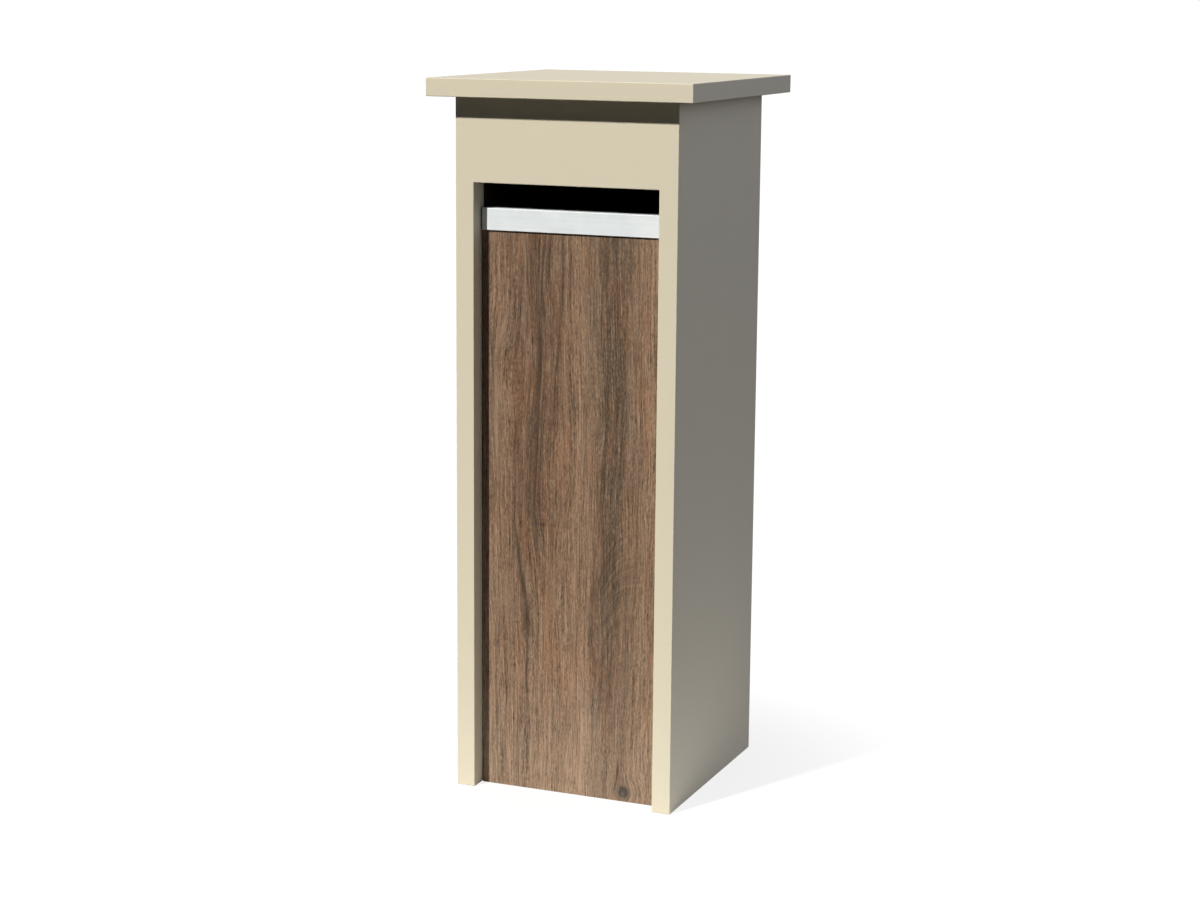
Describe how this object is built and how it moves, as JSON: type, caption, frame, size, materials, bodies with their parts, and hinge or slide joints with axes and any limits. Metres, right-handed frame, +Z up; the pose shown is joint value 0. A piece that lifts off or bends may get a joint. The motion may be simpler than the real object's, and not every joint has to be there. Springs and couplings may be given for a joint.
{
  "type": "pillar mailbox",
  "caption": "Free-standing pillar mailbox with a flat overhanging cap, an open letter slot over an aluminium sill, a recessed wood front panel and a lockable back door.",
  "frame": {"origin": "on the ground, under the centre of the cap", "axes": "+X to the right seen from the front, the front and its letter slot face -Y, +Z up"},
  "size_m": [0.385, 0.4, 1],
  "materials": {
    "painted_board": "beige outdoor paint on plywood, satin, with a dark phenolic film on the inner faces",
    "film_faced_board": "dark brown phenolic film on plywood, semi-gloss",
    "wood_decor": "brown knotty wood grain, matt",
    "softwood": "planed bare pine and beech",
    "aluminium_angle": "natural anodised, drawn",
    "stainless_hinges": "brushed stainless",
    "zinc_screws": "zinc plated",
    "zinc_steel": "zinc plated",
    "nickel_lock": "nickel plated",
    "nickel_key": "nickel plated, worn",
    "foam_seal": "closed-cell foam"
  },
  "bodies": {
    "carcass": {"left_side_panel": "painted_board", "right_side_panel": "painted_board", "cap_panel": "painted_board", "header_panel": "painted_board", "rear_top_rail": "painted_board", "rear_bottom_rail": "painted_board", "hinge_stile": "painted_board", "lock_stile": "painted_board", "base_panel": "film_faced_board", "mail_shelf": "film_faced_board", "left_front_batten": "softwood", "right_front_batten": "softwood", "left_base_cleat": "softwood", "right_base_cleat": "softwood", "left_shelf_cleat": "softwood", "right_shelf_cleat": "softwood", "left_cap_cleat": "softwood", "right_cap_cleat": "softwood", "top_door_stop": "softwood", "bottom_door_stop": "softwood", "header_dowels": "softwood", "rail_dowels": "softwood", "sill_screws": "zinc_screws", "front_batten_screws": "zinc_screws", "front_panel_screws": "zinc_screws", "base_cleat_screws": "zinc_screws", "shelf_cleat_screws": "zinc_screws", "cap_cleat_screws": "zinc_screws", "stile_screws": "zinc_screws", "door_stop_screws": "zinc_screws", "strike_screws": "zinc_screws", "frame_leaf_screws": "zinc_screws", "upper_hinge_frame_leaf": "stainless_hinges", "middle_hinge_frame_leaf": "stainless_hinges", "lower_hinge_frame_leaf": "stainless_hinges", "upper_hinge_pin": "stainless_hinges", "middle_hinge_pin": "stainless_hinges", "lower_hinge_pin": "stainless_hinges", "front_panel": "wood_decor", "slot_sill": "aluminium_angle", "door_seal": "foam_seal", "strike_plate": "zinc_steel"},
    "door": {"door_panel": "painted_board", "upper_hinge_door_leaf": "stainless_hinges", "middle_hinge_door_leaf": "stainless_hinges", "lower_hinge_door_leaf": "stainless_hinges", "door_leaf_screws": "zinc_screws", "lock_barrel": "nickel_lock", "lock_nut": "zinc_steel"},
    "lock": {"lock_plug": "nickel_lock", "lock_cam": "zinc_steel", "cam_screw": "zinc_steel"},
    "key": {"key": "nickel_key"}
  },
  "joints": [
    {"name": "door_hinge", "type": "hinge", "parent": "carcass", "child": "door", "pos_m": [0.1125, 0.1655, 0.4875], "axis": [0, 0, -1], "range_deg": [0, 175]},
    {"name": "lock_turn", "type": "hinge", "parent": "door", "child": "lock", "pos_m": [-0.0875, 0.162, 0.598], "axis": [0, 1, 0], "range_deg": [0, 90]},
    {"name": "key_pull", "type": "slide", "parent": "lock", "child": "key", "axis": [0, 1, 0], "range_m": [0, 0.024]}
  ]
}
